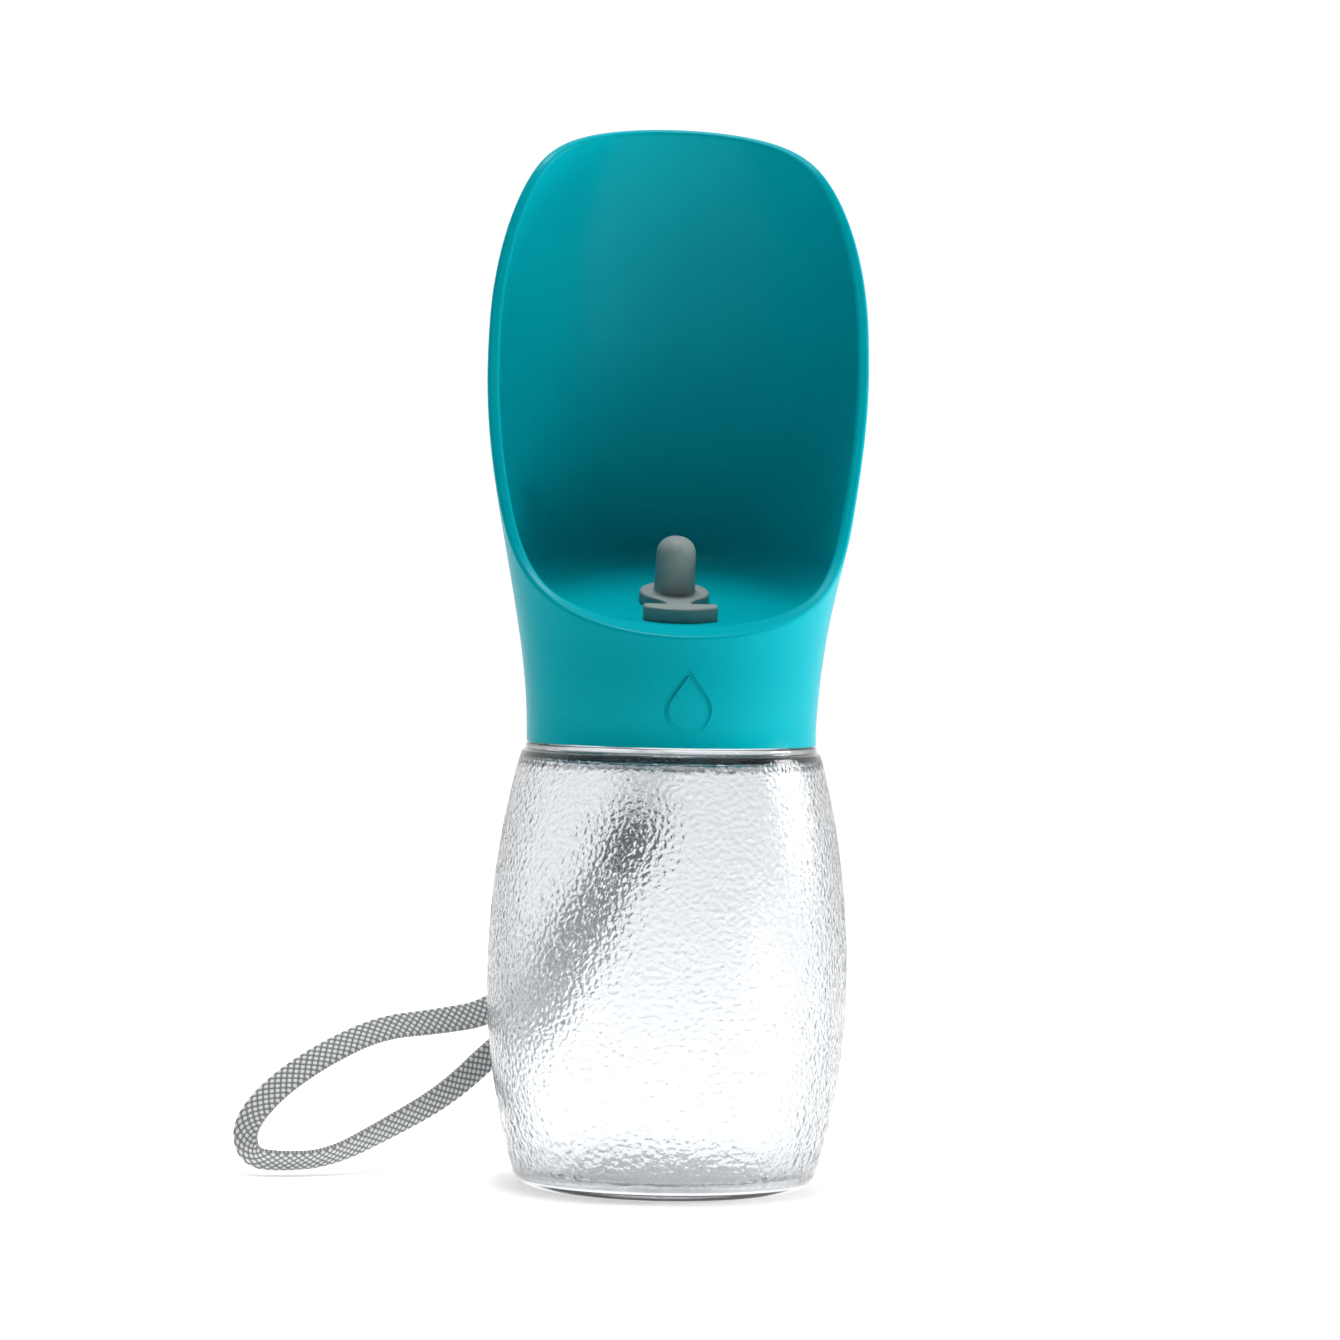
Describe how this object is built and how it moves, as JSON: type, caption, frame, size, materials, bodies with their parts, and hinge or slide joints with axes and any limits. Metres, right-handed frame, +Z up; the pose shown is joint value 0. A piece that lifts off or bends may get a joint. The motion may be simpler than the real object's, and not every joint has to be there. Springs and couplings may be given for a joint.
{
  "type": "pet travel water bottle",
  "caption": "Upright drinking bottle for dogs: clear barrel bottle, screw-on hood-shaped trough with a pull-out silicone stopper, and a woven wrist strap on an eyelet behind the collar.",
  "frame": {"origin": "on the table, at the middle of the bottle's base, on the bottle's axis", "axes": "+Z up the bottle's axis, -Y out of the open front of the drinking trough, +X to the right as seen from the front"},
  "size_m": [0.1197, 0.0764, 0.2058],
  "materials": {
    "clear_plastic": "clear moulded plastic with a fine hammered texture, smooth at the neck",
    "teal_plastic": "opaque turquoise polypropylene, satin outside with a polished rim",
    "gasket_silicone": "pale grey silicone, smooth",
    "stopper_silicone": "mid grey silicone, matt",
    "hitch_cord": "thin dark grey braided cord",
    "ferrule_plastic": "dark grey moulded crimp, matt",
    "strap_braid": "flat woven braid of dark and light grey yarns"
  },
  "bodies": {
    "bottle": {"bottle": "clear_plastic"},
    "seal": {"neck_gasket": "gasket_silicone"},
    "cap": {"cup_cap": "teal_plastic", "stopper_anchor": "stopper_silicone", "stopper_tether": "stopper_silicone", "strap_hitch_cord": "hitch_cord", "strap_ferrule": "ferrule_plastic", "strap_loop": "strap_braid"},
    "stopper": {"stopper_plug": "stopper_silicone"}
  },
  "joints": [
    {"name": "cap_lift", "type": "slide", "parent": "bottle", "child": "seal", "axis": [0, 0, 1], "range_m": [0, 0.01001]},
    {"name": "cap_unscrew", "type": "hinge", "parent": "seal", "child": "cap", "pos_m": [0, 0, 0.093], "axis": [0, 0, 1], "range_deg": [0, 450]},
    {"name": "stopper_fold", "type": "hinge", "parent": "cap", "child": "stopper", "pos_m": [0, -0.00887, 0.11205], "axis": [1, 0, 0], "range_deg": [0, 105], "stiffness_Nm_per_rad": 0.0007, "deforming": ["stopper_tether"]}
  ],
  "couplings": [
    {"joint": "cap_lift", "follows": "cap_unscrew", "m_per_rad": 0.0012732}
  ]
}
